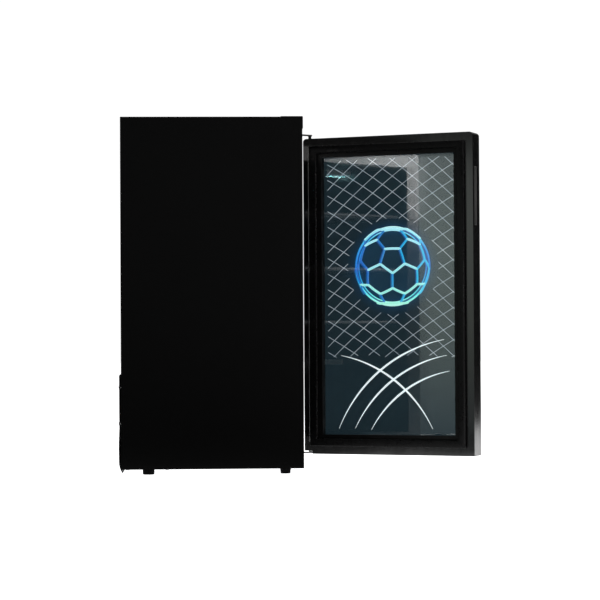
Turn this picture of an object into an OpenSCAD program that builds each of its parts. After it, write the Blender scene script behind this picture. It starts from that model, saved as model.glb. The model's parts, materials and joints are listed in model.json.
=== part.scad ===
// Glass-door drinks cooler (mini fridge) with its door standing open.
// +Z up, the front faces -Y, the user's right is +X. The origin is on the floor,
// under the middle of the footprint that the cabinet and the open door take together.

/* [Cabinet] */
// Width over the side panels
cab_w = 456; // [440:1:480]
// Depth from the front flange to the back panel
cab_d = 428; // [410:1:450]
// Height from the floor to the top panel
cab_h = 840; // [820:1:870]
// Height of the feet under the cabinet
foot_h = 13.5; // [12:0.5:16]
// Thickness of the side walls, which is also the width of the front flange
side_wall = 43; // [38:1:48]
// Thickness of the top wall
top_wall = 63; // [55:1:66]
// Thickness of the back wall
back_wall = 38; // [34:1:42]
// Thickness of the floor
floor_wall = 53; // [50:1:56]
// Depth of the trim along the front of the top
trim_d = 51; // [45:1:60]

/* [Compressor bay] */
// Depth of the bay under the step
bay_d = 147; // [140:1:152]
// Height of the bay's ceiling above the floor
bay_top = 236; // [230:1:245]
// Height of the step inside the cabinet
step_top = 260; // [258:1:270]

/* [Shelves] */
// Heights of the three shelves
shelf_heights = [362, 502, 644];
// Distance between the shelf's thin rods
rod_gap = 20; // [16:1:30]
// How far a shelf can be drawn out past the door at its modelled angle
shelf_travel = 45; // [10:1:45]

/* [Door] */
// Width of the door
door_w = 454; // [440:1:456]
// Height of the door's lower edge above the floor
door_z0 = 26; // [24:0.5:30]
// Height of the door's upper edge above the floor
door_z1 = 827.5; // [815:0.5:830]
// Thickness of the door without its gasket
door_t = 52; // [48:1:56]
// Angle that the door stands open, from closed
door_open = 64.4; // [0:0.1:117]
// Height of the caps across the door's top and bottom
cap_h = 24; // [22:1:28]
// Width of the dark border round the clear glass
glass_border = 50; // [46:1:54]

/* [Ball sign] */
// Outer radius of the ball
ball_r = 100; // [80:1:110]
// Height of the ball's centre above the floor
ball_z = 500; // [460:1:540]
// Width of the ball's strokes
stroke_w = 6.5; // [4:0.5:9]

/* [Hidden] */
$fn = 48;
sheet = 1;
liner_t = 1.5;
half_w = cab_w / 2;
open_w = half_w - side_wall;
open_top = cab_h - top_wall;
open_z = foot_h + floor_wall;
liner_y = cab_d - back_wall;
bay_y = cab_d - bay_d;
step_y = bay_y - 25;
skin_top = cab_h - sheet;
// pin: distances from the door's hinge edge and from the cabinet's front
pin_edge = 8;
gasket_gap = 14;
half_t = door_t / 2;
pin_x = door_w / 2 - pin_edge;
pin_y = -(gasket_gap + half_t);
pin_r = 2.5;
run_fit = 0.05;
free_x = pin_edge - door_w;
// the reach of the open door and of the rear cover, and from them the origin
reach_x = pin_x + pin_edge * cos(door_open) + half_t * sin(door_open);
reach_y = pin_y + free_x * sin(door_open) - half_t * cos(door_open);
rear_y = cab_d + 5.8;
cab_x = (half_w - max(half_w, reach_x)) / 2;
front_y = -(rear_y + reach_y) / 2;
cap_z0 = door_z0 + cap_h;
cap_z1 = door_z1 - cap_h;
stile_w = 24;
glass_t = 4;
lip = 2.5;
panel_t = 5;
bead_t = 6;
corner_r = 9;
front_y_door = -half_t;
glass_in_y = half_t - bead_t - glass_t;
panel_y = front_y_door + glass_t + 0.5;
gasket_w = 16;
gasket_s = 22;
gasket_t = 13.6;
grip_z0 = 597;
grip_z1 = 743;
grip_y0 = -5;
grip_y1 = 14;
grip_deep = 14;
hinge_plate_t = 2.5;
lower_plate_z = 27;
shelf_wire = 3;
shelf_front = 14;
shelf_back = 382;
shelf_half = open_w - liner_t - 5;
rod_r = 1.5;
cross_r = 2.5;
shelf_corner = 20;
comp_x = 60;
comp_y = bay_y + 74;
comp_r = 60;
leg_z = 30;
leg_dx = 80;
leg_dy = 38;
deck_t = 2;
deck_z = foot_h;
knob_x = 128;
knob_z = 756;
box_front = 40;
switch_x = 90;
switch_y = box_front + 6;
lamp_x = -95;
lamp_y = 190;
foot_x = 190;
front_foot_y = 42.5;
rear_foot_y = 365;
screw_zs = [205, 121];
base_screw_ys = [321, 413];

// ---------- places and simple shapes ----------

// cabinet coordinates: x from the centre line, y from the front flange, z from the floor
module at_cabinet() translate([cab_x, front_y, 0]) children();

// door coordinates: x and y from the hinge axis as on the closed door, z from the floor
module at_door()
  translate([cab_x + pin_x, front_y + pin_y, 0]) rotate([0, 0, door_open]) children();

module slab(x0, x1, y0, y1, z0, z1)
  translate([x0, y0, z0]) cube([x1 - x0, y1 - y0, z1 - z0]);

// a profile drawn as (y, z), carried along x from x0 to x1
module along_x(x0, x1)
  translate([x0, 0, 0]) rotate([90, 0, 90]) linear_extrude(x1 - x0) children();

// a profile drawn as (x, z), carried along y from y0 to y1
module along_y(y0, y1)
  translate([0, y1, 0]) rotate([90, 0, 0]) linear_extrude(y1 - y0) children();

module rod(p, q, r) {
  d = q - p;
  len = norm(d);
  translate(p) rotate([0, acos(d[2] / len), atan2(d[1], d[0])]) cylinder(h = len, r = r);
}

// a round tube through axis-aligned corners
module tube_run(points, r) {
  for (i = [0 : len(points) - 2]) rod(points[i], points[i + 1], r);
  for (i = [1 : len(points) - 2]) translate(points[i]) sphere(r = r);
}

// a countersunk screw with its head's top at z = 0, pointing down
module countersunk(head_r, shank_r, length) {
  rotate_extrude() polygon([[0, 0], [head_r, 0], [shank_r, -(head_r - shank_r)],
    [shank_r, -length], [0, -length]]);
}

// a rectangle with rounded upper corners and square lower ones
module arch_rect(x0, x1, z0, z1, r) {
  union() {
    translate([x0, z0]) square([x1 - x0, z1 - z0 - r]);
    translate([x0 + r, z0]) square([x1 - x0 - 2 * r, z1 - z0]);
    for (x = [x0 + r, x1 - r]) translate([x, z1 - r]) circle(r = r);
  }
}

// four mitred bars round the door, between the insets s0 and s1 from its edges
module mitred_bars(s0, s1, y0, y1) {
  gap = 0.05;
  x0 = free_x;
  x1 = pin_edge;
  along_y(y0, y1) {
    polygon([[x0 + s0 + gap, door_z0 + s0], [x1 - s0 - gap, door_z0 + s0],
      [x1 - s1 - gap, door_z0 + s1], [x0 + s1 + gap, door_z0 + s1]]);
    polygon([[x0 + s0 + gap, door_z1 - s0], [x1 - s0 - gap, door_z1 - s0],
      [x1 - s1 - gap, door_z1 - s1], [x0 + s1 + gap, door_z1 - s1]]);
    polygon([[x0 + s0, door_z0 + s0 + gap], [x0 + s1, door_z0 + s1 + gap],
      [x0 + s1, door_z1 - s1 - gap], [x0 + s0, door_z1 - s0 - gap]]);
    polygon([[x1 - s0, door_z0 + s0 + gap], [x1 - s1, door_z0 + s1 + gap],
      [x1 - s1, door_z1 - s1 - gap], [x1 - s0, door_z1 - s0 - gap]]);
  }
}

// ---------- cabinet shell ----------

// one side: outer sheet, front flange and the narrow return at the back
module side_panel(side) at_cabinet() color([0.04, 0.04, 0.045]) mirror([side < 0 ? 1 : 0, 0, 0]) {
  union() {
    slab(half_w - sheet, half_w, 0, cab_d, foot_h, skin_top);
    slab(open_w, half_w, 0, sheet, foot_h, skin_top - 2);
    slab(half_w - 12, half_w, cab_d - sheet, cab_d, bay_top, skin_top);
  }
}

module left_side_panel() side_panel(-1);
module right_side_panel() side_panel(1);

module top_panel() at_cabinet() color([0.04, 0.04, 0.045]) {
  union() {
    slab(-half_w, half_w, trim_d, cab_d, skin_top, cab_h);
    slab(-half_w + 12, half_w - 12, cab_d - sheet, cab_d, cab_h - 16, cab_h);
  }
}

// plastic strip over the front of the top, open where the upper hinge comes out
module top_front_trim() at_cabinet() color([0.05, 0.05, 0.055]) {
  rise = 1.2;
  skirt = 27;
  r = 2.5;
  top = cab_h + rise;
  difference() {
    along_x(-half_w, half_w) union() {
      translate([r - 1.5, cab_h]) square([trim_d - r + 1.5, rise]);
      translate([r - 1.5, top - r]) intersection() {
        circle(r = r);
        translate([-r, 0]) square([r, r]);
      }
      translate([-1.5, cab_h - skirt]) square([1.5, skirt + rise - r]);
      translate([trim_d - 2, skin_top]) square([2, 1.5]);
    }
    slab(150, half_w - 2, -3, 1, cab_h - hinge_plate_t - 0.5, cab_h + 0.05);
    slab(-half_w - 1, half_w + 1, 0, trim_d - 2, cab_h - 9, skin_top);
  }
}

// box-shaped steel rail behind the trim; the gasket's magnets close on its face
module front_top_rail() at_cabinet() color([0.05, 0.05, 0.05]) {
  w = open_w - 0.2;
  top = cab_h - hinge_plate_t;
  difference() {
    union() {
      slab(-w, w, 0, sheet, open_top, cab_h - 27.5);
      slab(-w, w, sheet, 32, open_top + liner_t, top);
    }
    slab(-w + 2, w - 2, sheet + 2, 30, open_top + liner_t + 2, top - 3);
    for (x = [160, 178]) translate([x, 20, top - 20]) cylinder(h = 30, r = 2.1);
  }
}

module front_bottom_rail() at_cabinet() color([0.05, 0.05, 0.05]) {
  w = open_w - 0.2;
  difference() {
    union() {
      slab(-w, w, 0, sheet, foot_h, open_z);
      slab(-w, w, sheet, 20, foot_h + sheet + 0.2, open_z - 0.2);
    }
    slab(-w + 2, w - 2, 3, 18, foot_h + 4, open_z - 3);
  }
}

// floor sheet with the two threaded bosses that the front feet screw into
module bottom_panel() at_cabinet() color([0.3, 0.3, 0.31]) {
  boss_h = 18;
  difference() {
    union() {
      slab(-half_w + sheet, half_w - sheet, sheet, bay_y - sheet, foot_h, foot_h + sheet);
      for (x = [-foot_x, foot_x]) translate([x, front_foot_y, foot_h]) cylinder(h = boss_h, r = 7);
    }
    for (x = [-foot_x, foot_x])
      translate([x, front_foot_y, foot_h - 1]) cylinder(h = boss_h + 2, r = 4 + run_fit);
  }
}

module back_panel() at_cabinet() color([0.06, 0.06, 0.06])
  slab(-half_w + 12.2, half_w - 12.2, cab_d - sheet, cab_d, bay_top, cab_h - 16.2);

// folded sheet between the foam and the compressor bay
module bay_wall() at_cabinet() color([0.5, 0.5, 0.52]) {
  difference() {
    along_x(-half_w + sheet, half_w - sheet)
      polygon([[bay_y - sheet, foot_h], [bay_y, foot_h], [bay_y, bay_top - sheet],
        [cab_d - sheet, bay_top - sheet], [cab_d - sheet, bay_top], [bay_y - sheet, bay_top]]);
    pipe_holes(bay_top - 5, bay_top + 5, 0.5);
  }
}

// clear holes for the tube and the drain where they pass through the insulation
module pipe_holes(z0, z1, extra) {
  translate([suction_x, suction_y, z0]) cylinder(h = z1 - z0, r = suction_r + extra);
  translate([drain_x, drain_y, z0]) cylinder(h = z1 - z0, r = drain_r + extra);
}
suction_x = -20;
suction_y = 404;
suction_r = 3.2;
drain_x = 40;
drain_y = 374;
drain_r = 6;

// one moulded tub with its compressor step and the ledges that carry the shelves
module inner_liner() at_cabinet() color([0.12, 0.12, 0.13]) {
  w = open_w - liner_t;
  difference() {
    union() {
      difference() {
        along_x(-open_w, open_w) polygon([[0, open_z], [step_y + liner_t, open_z],
          [step_y + liner_t, step_top - liner_t], [liner_y, step_top - liner_t],
          [liner_y, open_top], [0, open_top]]);
        along_x(-w, w) polygon([[-1, open_z + liner_t], [step_y, open_z + liner_t],
          [step_y, step_top], [liner_y - liner_t, step_top],
          [liner_y - liner_t, open_top - liner_t], [-1, open_top - liner_t]]);
      }
      for (z = shelf_heights, side = [-1, 1])
        for (dz = [-shelf_wire - 4.3, shelf_wire + 2])
          slab(min(side * w, side * (w - 9)), max(side * w, side * (w - 9)),
            10, liner_y - liner_t, z + dz, z + dz + 4);
    }
    translate([drain_x, drain_y, step_top - 5]) cylinder(h = 10, r = drain_r);
  }
}

// ---------- insulation ----------

module foam_sides() at_cabinet() color([0.9, 0.82, 0.55])
  for (side = [0, 1]) mirror([side, 0, 0])
    difference() {
      along_x(open_w, half_w - sheet)
        polygon([[sheet, foot_h + sheet], [bay_y - sheet, foot_h + sheet],
          [bay_y - sheet, bay_top], [cab_d - sheet, bay_top],
          [cab_d - sheet, skin_top - 3], [sheet, skin_top - 3]]);
      translate([foot_x, front_foot_y, foot_h]) cylinder(h = 20, r = 7.2);
    }

module foam_top() at_cabinet() color([0.9, 0.82, 0.55])
  slab(-open_w, open_w, 32.2, cab_d - sheet, open_top, skin_top - 3);

module foam_back() at_cabinet() color([0.9, 0.82, 0.55])
  difference() {
    slab(-open_w, open_w, liner_y, cab_d - sheet, step_top - liner_t, open_top);
    slab(-evap_w, evap_w, liner_y - 1, liner_y + 2, evap_z0, evap_z1);
    pipe_holes(step_top - 10, evap_z0 + 31, 0.5);
  }
evap_w = 150;
evap_z0 = 330;
evap_z1 = 730;

module foam_floor() at_cabinet() color([0.9, 0.82, 0.55])
  difference() {
    slab(-open_w, open_w, 20.2, bay_y - sheet, foot_h + sheet, open_z);
    for (x = [-foot_x, foot_x])
      translate([x, front_foot_y, foot_h]) cylinder(h = 20, r = 7.2);
  }

module foam_step() at_cabinet() color([0.9, 0.82, 0.55])
  difference() {
    along_x(-open_w, open_w) polygon([[step_y + liner_t, open_z], [bay_y - sheet, open_z],
      [bay_y - sheet, bay_top], [cab_d - sheet, bay_top],
      [cab_d - sheet, step_top - liner_t], [step_y + liner_t, step_top - liner_t]]);
    pipe_holes(bay_top - 5, step_top + 5, 0.5);
  }

// ---------- cooling circuit ----------

module evaporator_plate() at_cabinet() color([0.75, 0.76, 0.78])
  slab(-evap_w + 1, evap_w - 1, liner_y + 0.1, liner_y + 1.8, evap_z0 + 1, evap_z1 - 1);

// the suction line to the evaporator, and the capillary's small coil
module refrigerant_tubes() at_cabinet() color([0.75, 0.42, 0.25]) {
  start_x = comp_x - comp_r;
  tube_run([[start_x, comp_y, 120], [suction_x, comp_y, 120], [suction_x, suction_y, 120],
    [suction_x, suction_y, evap_z0 + 30]], suction_r);
  for (i = [0 : 3]) translate([-120, comp_y - 20, 90 + i * 4])
    rotate_extrude() translate([24, 0]) circle(r = 1.4);
}

module filter_drier() at_cabinet() color([0.72, 0.4, 0.24])
  translate([-190, bay_y + 24, 70]) rotate([0, 90, 0])
    rotate_extrude() polygon([[0, 0], [2.5, 0], [2.5, 10], [9.5, 20], [9.5, 105],
      [2, 115], [2, 130], [0, 130]]);

// serpentine condenser tube behind each side sheet
module condenser_coil() at_cabinet() color([0.3, 0.3, 0.3])
  for (side = [-1, 1]) translate([side * (half_w - sheet - coil_r - 0.1), 0, 0]) {
    for (i = [0 : coil_runs - 1])
      translate([0, coil_y + i * coil_step, coil_z0]) cylinder(h = coil_z1 - coil_z0, r = coil_r);
    for (i = [0 : coil_runs - 2])
      translate([0, coil_y + (i + 0.5) * coil_step, i % 2 == 0 ? coil_z1 : coil_z0])
        rotate([i % 2 == 0 ? 0 : 180, 0, 0]) rotate([0, -90, 0])
          rotate([0, 0, -90]) rotate_extrude(angle = 180) translate([coil_step / 2, 0])
            circle(r = coil_r);
  }
coil_r = 2.4;
coil_runs = 9;
coil_y = 40;
coil_step = 40;
coil_z0 = 290;
coil_z1 = 780;

// welded steel pot on a foot plate, with the boss that carries the relay
module compressor() at_cabinet() color([0.06, 0.06, 0.07])
  difference() {
    union() {
      translate([comp_x, comp_y, leg_z + 4]) rotate_extrude()
        polygon(concat([[0, 0], [42, 0]],
          [for (a = [-60 : 15 : 0]) [30 + 30 * cos(a), 30 + 30 * sin(a)]],
          [[60, 64], [62, 64], [62, 70], [59, 70]],
          [for (a = [0 : 15 : 90]) [29 + 30 * cos(a), 92 + 30 * sin(a)]], [[0, 122]]));
      slab(comp_x - leg_dx - 14, comp_x + leg_dx + 14, comp_y - leg_dy - 12,
        comp_y + leg_dy + 12, leg_z, leg_z + 4);
      rod([comp_x + 50, comp_y, 82], [comp_x + 66, comp_y, 82], 16);
    }
    for (x = [-leg_dx, leg_dx], y = [-leg_dy, leg_dy])
      translate([comp_x + x, comp_y + y, leg_z - 1]) cylinder(h = 6, r = 8);
  }

module relay_box() at_cabinet() color([0.1, 0.1, 0.1])
  slab(comp_x + 66, comp_x + 96, comp_y - 24, comp_y + 24, 52, 112);

module compressor_grommets() at_cabinet() color([0.08, 0.08, 0.08])
  for (x = [-leg_dx, leg_dx], y = [-leg_dy, leg_dy])
    translate([comp_x + x, comp_y + y, deck_z + deck_t]) rotate_extrude()
      polygon([[4.2, 0], [13, 0], [12, 14.4], [7.9, 14.4], [7.9, 18.6], [11, 18.6],
        [11, 22], [4.2, 22]]);

module compressor_bolts() at_cabinet() color([0.7, 0.7, 0.72])
  for (x = [-leg_dx, leg_dx], y = [-leg_dy, leg_dy])
    translate([comp_x + x, comp_y + y, deck_z + deck_t]) {
      cylinder(h = 28, r = 4);
      translate([0, 0, 22.1]) cylinder(h = 1.5, r = 9);
      translate([0, 0, 23.6]) cylinder(h = 5, r = 7.5, $fn = 6);
    }

module compressor_deck() at_cabinet() color([0.5, 0.5, 0.52])
  difference() {
    slab(-half_w + sheet, half_w - sheet, bay_y + 0.2, cab_d - 4, deck_z, deck_z + deck_t);
    for (x = [-1, 1], y = base_screw_ys)
      translate([x * (half_w - 16), y, deck_z - 1]) cylinder(h = deck_t + 2, r = 2.1);
  }

// shallow pan above the compressor where the meltwater dries off
module drip_tray() at_cabinet() color([0.15, 0.15, 0.16])
  difference() {
    slab(comp_x - 55, comp_x + 75, comp_y - 50, comp_y + 50, 172, 200);
    slab(comp_x - 53, comp_x + 73, comp_y - 48, comp_y + 48, 174, 201);
  }

module drain_tube() at_cabinet() color([0.15, 0.15, 0.16])
  translate([drain_x, drain_y, 192]) difference() {
    cylinder(h = step_top - 192, r = drain_r - 0.05);
    translate([0, 0, -1]) cylinder(h = step_top - 190, r = drain_r - 1.5);
  }

// ---------- back and underside ----------

// outer curve of the cover: straight, then a slight belly, then curled in at the floor
function cover_y(z) = z > 110 ? 4.4 : z > 30 ? 4.4 + 1.3 * sin(180 * (110 - z) / 100)
  : 5.16 - 0.0128 * pow(30 - z, 2);

module rear_cover() at_cabinet() color([0.05, 0.05, 0.055]) {
  t = 2;
  tip = 4;
  w = half_w - 3;
  zs = concat([bay_top - 2, bay_top - 6], [for (z = [110 : -10 : 40]) z], [for (z = [30 : -4 : tip]) z]);
  difference() {
    along_x(-w, w) union() {
      polygon(concat([[cab_d, bay_top]], [for (z = zs) [cab_d + cover_y(z), z]],
        [for (i = [len(zs) - 1 : -1 : 0]) [cab_d + cover_y(zs[i]) - t, zs[i] + 0.5]]));
      translate([cab_d, bay_top - 8]) square([3, 8]);
    }
    for (bank = [-1, 1], i = [0 : 13])
      slab(bank * 95 - 66 + i * 10, bank * 95 - 62 + i * 10, cab_d - 4, cab_d + 9, 70, 150);
    for (x = [-1, 1], z = screw_zs)
      translate([x * (w - 6), cab_d + 10, z]) rotate([90, 0, 0]) cylinder(h = 20, r = 2.1);
    translate([gland_x, cab_d + 10, gland_z]) rotate([90, 0, 0]) cylinder(h = 20, r = 7);
  }
}
gland_x = 185;
gland_z = 44;

// pan-head screws: two up each edge of the cover, two under each side of the deck
module case_screws() at_cabinet() color([0.55, 0.55, 0.57]) {
  for (x = [-1, 1], z = screw_zs)
    translate([x * (half_w - 9), cab_d + cover_y(z), z]) rotate([-90, 0, 0]) pan_screw();
  for (x = [-1, 1], y = base_screw_ys)
    translate([x * (half_w - 16), y, deck_z]) rotate([180, 0, 0]) pan_screw(2.6);
}

// head above z = 0, shank below it
module pan_screw(head_h = 1.4) {
  rotate_extrude() polygon([[0, head_h], [2.6, head_h], [4.2, head_h * 0.5], [4.2, 0],
    [2, 0], [2, -10], [0, -10]]);
}

// bush where the supply lead goes in
module cord_gland() at_cabinet() color([0.08, 0.08, 0.08])
  translate([gland_x, cab_d - 6, gland_z]) rotate([-90, 0, 0]) difference() {
    union() {
      cylinder(h = 16, r = 6.95);
      translate([0, 0, 12]) cylinder(h = 6, r = 10);
      cylinder(h = 4, r = 10);
    }
    translate([0, 0, -1]) cylinder(h = 20, r = 3.6);
  }

// ---------- controls and lamp ----------

module control_box() at_cabinet() color([0.14, 0.14, 0.15]) {
  top = open_top - liner_t;
  difference() {
    union() {
      difference() {
        along_x(70, 165) polygon([[box_front, top], [box_front, 738], [box_front + 12, 732],
          [box_front + 90, 744], [box_front + 96, top]]);
        along_x(73, 162) polygon([[box_front + 3, top + 1], [box_front + 3, 740],
          [box_front + 13, 735], [box_front + 88, 747], [box_front + 93, top + 1]]);
      }
      for (x = [switch_x - 10.5, switch_x + 7.6])
        slab(x, x + 2.9, box_front + 2.5, box_front + 10, knob_z - 4, knob_z + 4);
    }
    translate([knob_x, box_front - 1, knob_z]) rotate([-90, 0, 0]) cylinder(h = 6, r = 4 + run_fit);
    slab(switch_x - 7.5, switch_x + 7.5, box_front - 1, box_front + 4, knob_z - 11, knob_z + 11);
    rod([switch_x - 12, switch_y, knob_z], [switch_x + 12, switch_y, knob_z], 1.5 + run_fit);
  }
}

module thermostat_knob() at_cabinet() color([0.2, 0.2, 0.21])
  translate([knob_x, 0, knob_z]) {
    difference() {
      translate([0, box_front - 0.4, 0]) rotate([90, 0, 0]) cylinder(h = 14, r = 14);
      for (a = [0 : 30 : 330]) rotate([0, a, 0])
        translate([15.2, box_front + 1, 0]) rotate([90, 0, 0]) cylinder(h = 12, r = 2.4);
    }
    translate([0, box_front + 12, 0]) rotate([90, 0, 0]) cylinder(h = 13, r = 4);
    slab(-1.2, 1.2, box_front - 16, box_front - 14, 2, 13);
  }

// rocker whose axle turns in two lugs behind the box's face
module lamp_switch() at_cabinet() color([0.16, 0.16, 0.17])
  translate([0, switch_y, knob_z]) union() {
    along_x(switch_x - 7, switch_x + 7)
      polygon([[-7, 9], [-8.5, 9.5], [-7.2, 0], [-8.5, -9.5], [-7, -9], [3, -4], [3, 4]]);
    rod([switch_x - 10, 0, 0], [switch_x + 10, 0, 0], 1.5);
  }

module lamp_housing() at_cabinet() color([0.7, 0.72, 0.74]) {
  top = open_top - liner_t;
  translate([lamp_x, lamp_y, 0]) difference() {
    slab(-46, 46, -16, 16, top - 12, top);
    slab(-44, 44, -14, 14, top - 13, top - 2);
  }
}

module lamp_board() at_cabinet() color([0.9, 0.92, 0.95]) {
  top = open_top - liner_t;
  translate([lamp_x, lamp_y, 0]) {
    slab(-42, 42, -9, 9, top - 5, top - 3.4);
    for (i = [-3 : 3]) slab(i * 12 - 2.5, i * 12 + 2.5, -2.5, 2.5, top - 6.6, top - 5);
  }
}

module lamp_diffuser() at_cabinet() color([0.85, 0.93, 0.97, 0.6]) {
  top = open_top - liner_t;
  translate([lamp_x, lamp_y, 0]) along_x(-43.9, 43.9)
    polygon([[-13.9, top - 11], [-13.9, top - 13.5], [-9, top - 16], [9, top - 16],
      [13.9, top - 13.5], [13.9, top - 11]]);
}

// ---------- shelves ----------

// welded wire grid: a thick rounded border, two cross bars and thin rods front to back
module wire_shelf(z) at_cabinet() color([0.72, 0.73, 0.75]) translate([0, 0, z]) {
  c = shelf_corner;
  x = shelf_half - shelf_wire;
  y0 = shelf_front + shelf_wire;
  y1 = shelf_back - shelf_wire;
  union() {
    for (y = [y0, y1]) rod([-x + c, y, 0], [x - c, y, 0], shelf_wire);
    for (s = [-1, 1]) rod([s * x, y0 + c, 0], [s * x, y1 - c, 0], shelf_wire);
    for (k = [[x - c, y1 - c, 0], [-x + c, y1 - c, 90], [-x + c, y0 + c, 180], [x - c, y0 + c, 270]])
      translate([k[0], k[1], 0]) rotate([0, 0, k[2]])
        rotate_extrude(angle = 90) translate([c, 0]) circle(r = shelf_wire);
    for (y = [y0 + 90, y1 - 90]) rod([-x, y, 0], [x, y, 0], cross_r);
    for (i = [-7 : 7]) rod([i * rod_gap, y0, shelf_wire], [i * rod_gap, y1, shelf_wire], rod_r);
  }
}

module shelf_lower() wire_shelf(shelf_heights[0]);
module shelf_middle() wire_shelf(shelf_heights[1]);
module shelf_upper() wire_shelf(shelf_heights[2]);

// ---------- feet ----------

// screw-in levelling foot, with finger grooves round its pad
module front_foot(side) at_cabinet() color([0.06, 0.06, 0.06])
  translate([side * foot_x, front_foot_y, 0]) difference() {
    union() {
      rotate_extrude() polygon([[0, 0], [10.5, 0], [11.6, 1], [13.2, foot_h - 0.3],
        [0, foot_h - 0.3]]);
      cylinder(h = foot_h + 17, r = 4);
    }
    for (a = [0 : 45 : 315]) rotate([0, 0, a]) translate([14.6, 0, 3]) cylinder(h = 20, r = 2.2);
  }

module front_foot_left() front_foot(-1);
module front_foot_right() front_foot(1);

module rear_feet() at_cabinet() color([0.06, 0.06, 0.06])
  for (x = [-foot_x, foot_x]) translate([x, rear_foot_y, 0])
    rotate_extrude() polygon(concat([[0, 0]],
      [for (a = [-90 : 15 : 0]) [11 + 3 * cos(a), 3 + 3 * sin(a)]],
      [[14, foot_h], [0, foot_h]]));

// ---------- hinges ----------

// flat plate under the trim, narrowing to a small eye that holds the pin
module hinge_plate_upper() at_cabinet() color([0.05, 0.05, 0.05])
  translate([0, 0, cab_h - hinge_plate_t]) difference() {
    linear_extrude(hinge_plate_t) union() {
      polygon([[152, 2], [186, 2], [pin_x - 6, pin_y], [pin_x + 6, pin_y],
        [pin_x + 6, -14], [pin_x - 2, 2], [pin_x - 2, 30], [152, 30]]);
      translate([pin_x, pin_y]) circle(r = 6);
    }
    translate([pin_x, pin_y, -1]) cylinder(h = 5, r = pin_r);
    for (x = [160, 178]) translate([x, 20, hinge_plate_t]) screw_seat();
  }

module screw_seat() translate([0, 0, 0.01])
  rotate_extrude() polygon([[0, 0], [4.6, 0], [2.1, -2.5], [2.1, -6], [0, -6]]);

// angle bracket: upright on the front rail, flat arm in the door's corner notch
module hinge_bracket_lower() at_cabinet() color([0.05, 0.05, 0.05]) {
  z = lower_plate_z;
  arm = 10;
  difference() {
    union() {
      slab(168, pin_x + arm - 2, -2.5, 0, foot_h + 2, z + 3);
      translate([0, 0, z]) linear_extrude(3) union() {
        polygon([[pin_x - arm, pin_y], [pin_x + arm - 2, pin_y], [pin_x + arm - 2, -1],
          [pin_x - arm, -1]]);
        translate([pin_x, pin_y]) circle(r = arm - 2);
      }
    }
    translate([pin_x, pin_y, z - 1]) cylinder(h = 5, r = pin_r);
    for (x = [176, 200]) translate([x, 0.5, foot_h + 8]) rotate([90, 0, 0]) cylinder(h = 4, r = 2.1);
  }
}

module hinge_pins() at_cabinet() color([0.08, 0.08, 0.08])
  translate([pin_x, pin_y, 0]) {
    translate([0, 0, cab_h - 28]) cylinder(h = 28, r = pin_r - 0.01);
    translate([0, 0, lower_plate_z]) cylinder(h = 22, r = pin_r - 0.01);
  }

module hinge_screws() at_cabinet() color([0.6, 0.6, 0.62]) {
  for (x = [160, 178]) translate([x, 20, cab_h]) countersunk(4.5, 2, 16);
  for (x = [176, 200]) translate([x, -2.5, foot_h + 8]) rotate([90, 0, 0]) lower_screw();
}

module lower_screw() rotate_extrude()
  polygon([[0, 1.6], [2.4, 1.6], [3.8, 0.6], [3.8, 0], [2, 0], [2, -2.5], [0, -2.5]]);

// ---------- door ----------

// full outline of the door, with the rebate that takes the outer glass
module door_block(z0, z1) {
  difference() {
    along_y(-half_t, half_t) intersection() {
      arch_rect(free_x, pin_edge, door_z0, door_z1, corner_r);
      translate([free_x, z0]) square([door_w, z1 - z0]);
    }
    along_y(-half_t - 1, -half_t + glass_t)
      arch_rect(free_x + lip, pin_edge - lip, door_z0 + lip, door_z1 - lip, corner_r - lip);
  }
}

module door_top_cap() at_door() color([0.05, 0.05, 0.055])
  difference() {
    door_block(cap_z1, door_z1);
    translate([0, 0, door_z1 - 16]) cylinder(h = 20, r = 5);
    slab(driver_x, driver_x + 122, -12, 12, cap_z1 - 1, cap_z1 + 16);
  }
driver_x = -290;

// the hinge corner is cut away below so that the bracket's arm can swing in it
module door_bottom_cap() at_door() color([0.05, 0.05, 0.055])
  difference() {
    door_block(door_z0, cap_z0);
    slab(-13, pin_edge + 1, -18, half_t + 1, door_z0 - 1, door_z0 + 8);
    translate([0, 0, door_z0]) cylinder(h = cap_h + 1, r = 5);
  }

module hinge_stile() at_door() color([0.05, 0.05, 0.055])
  intersection() {
    door_block(cap_z0, cap_z1);
    slab(pin_edge - stile_w, pin_edge, -half_t, half_t, cap_z0, cap_z1);
  }

module handle_stile() at_door() color([0.05, 0.05, 0.055])
  difference() {
    intersection() {
      door_block(cap_z0, cap_z1);
      slab(free_x, free_x + stile_w, -half_t, half_t, cap_z0, cap_z1);
    }
    slab(free_x - 1, free_x + grip_deep, grip_y0, grip_y1, grip_z0, grip_z1);
  }

// thin moulded lining of the finger recess
module handle_insert() at_door() color([0.09, 0.09, 0.095]) {
  t = 1.2;
  g = 0.1;
  difference() {
    slab(free_x + 0.3, free_x + grip_deep - g, grip_y0 + g, grip_y1 - g, grip_z0 + g, grip_z1 - g);
    slab(free_x - 1, free_x + grip_deep - g - t, grip_y0 + g + t, grip_y1 - g - t,
      grip_z0 + g + t, grip_z1 - g - t);
  }
}

module outer_glass() at_door() color([0.05, 0.06, 0.07, 0.7])
  along_y(-half_t + 0.4, -half_t + glass_t)
    arch_rect(free_x + lip + 0.2, pin_edge - lip - 0.2, door_z0 + lip + 0.2,
      door_z1 - lip - 0.2, corner_r - lip - 0.2);

module pane(inset, y0, y1)
  slab(free_x + inset, pin_edge - inset, y0, y1, door_z0 + inset, door_z1 - inset);

module graphic_panel() at_door() color([0.2, 0.27, 0.3, 0.6])
  pane(stile_w + 1, panel_y, panel_y + panel_t);

module inner_glass() at_door() color([0.6, 0.7, 0.72, 0.3])
  pane(stile_w + 1, glass_in_y, glass_in_y + glass_t);

module glass_spacer() at_door() color([0.3, 0.33, 0.36])
  mitred_bars(33, 41, panel_y + panel_t + 0.1, glass_in_y - 0.1);

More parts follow.
